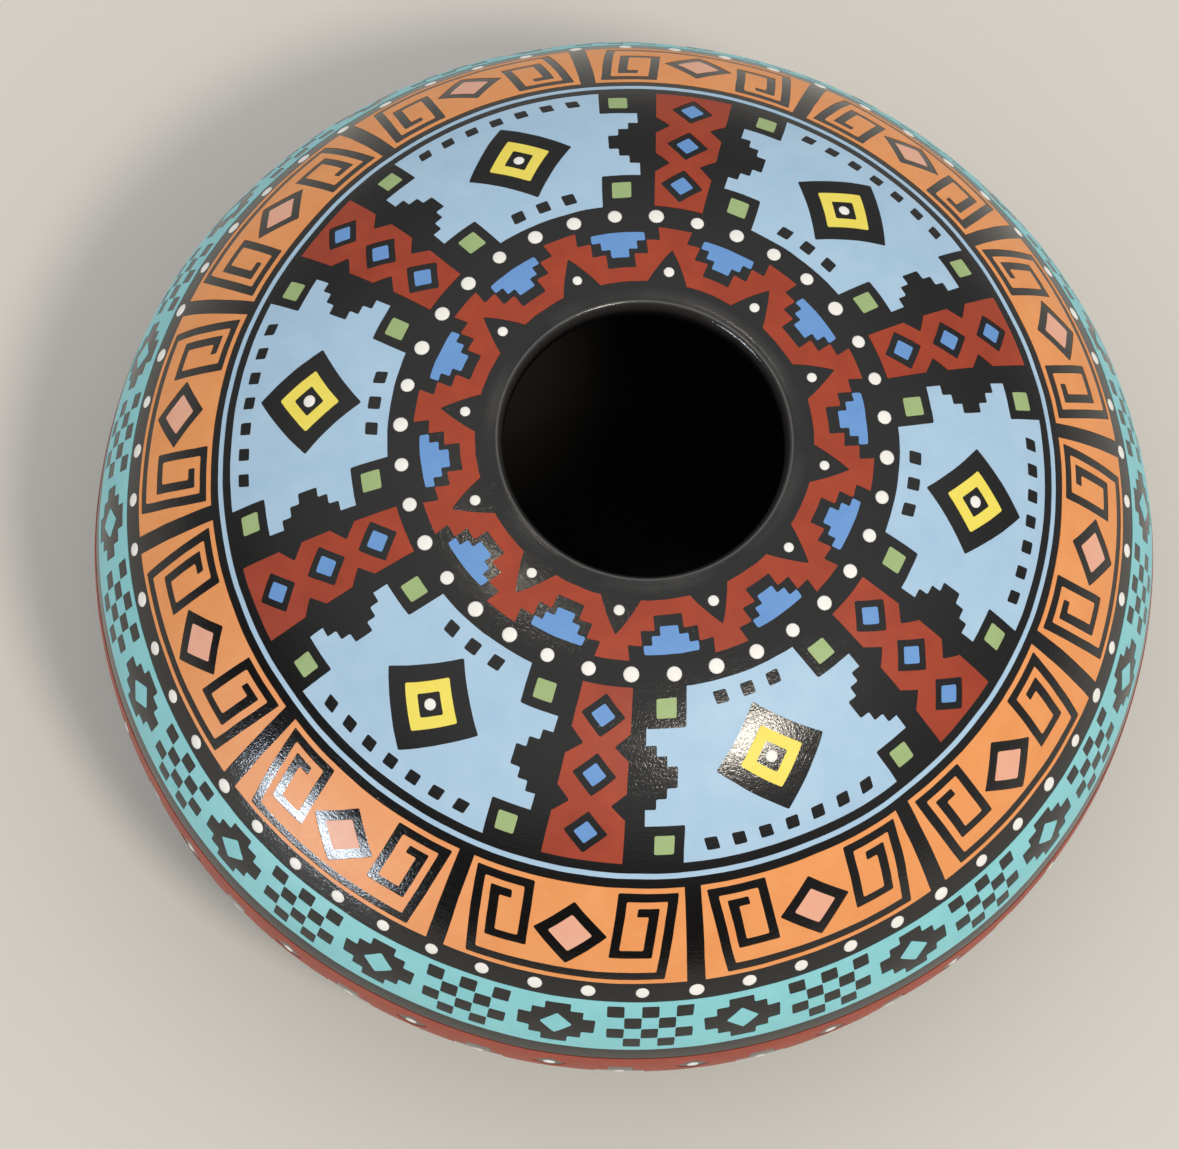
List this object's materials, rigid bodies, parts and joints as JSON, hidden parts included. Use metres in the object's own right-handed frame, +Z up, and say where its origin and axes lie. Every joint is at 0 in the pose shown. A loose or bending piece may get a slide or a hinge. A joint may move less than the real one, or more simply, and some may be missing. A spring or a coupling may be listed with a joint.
{
  "type": "seed pot",
  "caption": "Low, wide, coil-built ceramic seed pot with a small round mouth, burnished black outside, with matte painted registers of geometric panels from the mouth to the belly.",
  "frame": {"origin": "centre of the foot, on the plane that the pot stands on", "axes": "+Z up along the pot's axis of revolution; +X through the middle of a sky blue panel"},
  "size_m": [0.2604, 0.2604, 0.1442],
  "materials": {
    "burnished_clay": "stone-burnished charcoal black, semi-gloss",
    "red_paint": "matte brushed paint",
    "sky_blue_paint": "matte brushed paint",
    "orange_paint": "matte brushed paint",
    "turquoise_paint": "matte brushed paint",
    "cobalt_paint": "matte brushed paint",
    "yellow_paint": "matte brushed paint",
    "green_paint": "matte brushed paint",
    "pink_paint": "matte brushed paint",
    "white_paint": "matte brushed paint"
  },
  "bodies": {
    "root": {"base_slab": "burnished_clay", "wall_coil_1": "burnished_clay", "wall_coil_2": "burnished_clay", "wall_coil_3": "burnished_clay", "wall_coil_4": "burnished_clay", "wall_coil_5": "burnished_clay", "wall_coil_6": "burnished_clay", "wall_coil_7": "burnished_clay", "wall_coil_8": "burnished_clay", "rim_coil": "burnished_clay", "paint_red": "red_paint", "paint_sky_blue": "sky_blue_paint", "paint_orange": "orange_paint", "paint_turquoise": "turquoise_paint", "paint_cobalt": "cobalt_paint", "paint_yellow": "yellow_paint", "paint_green": "green_paint", "paint_pink": "pink_paint", "paint_white": "white_paint"}
  },
  "joints": []
}
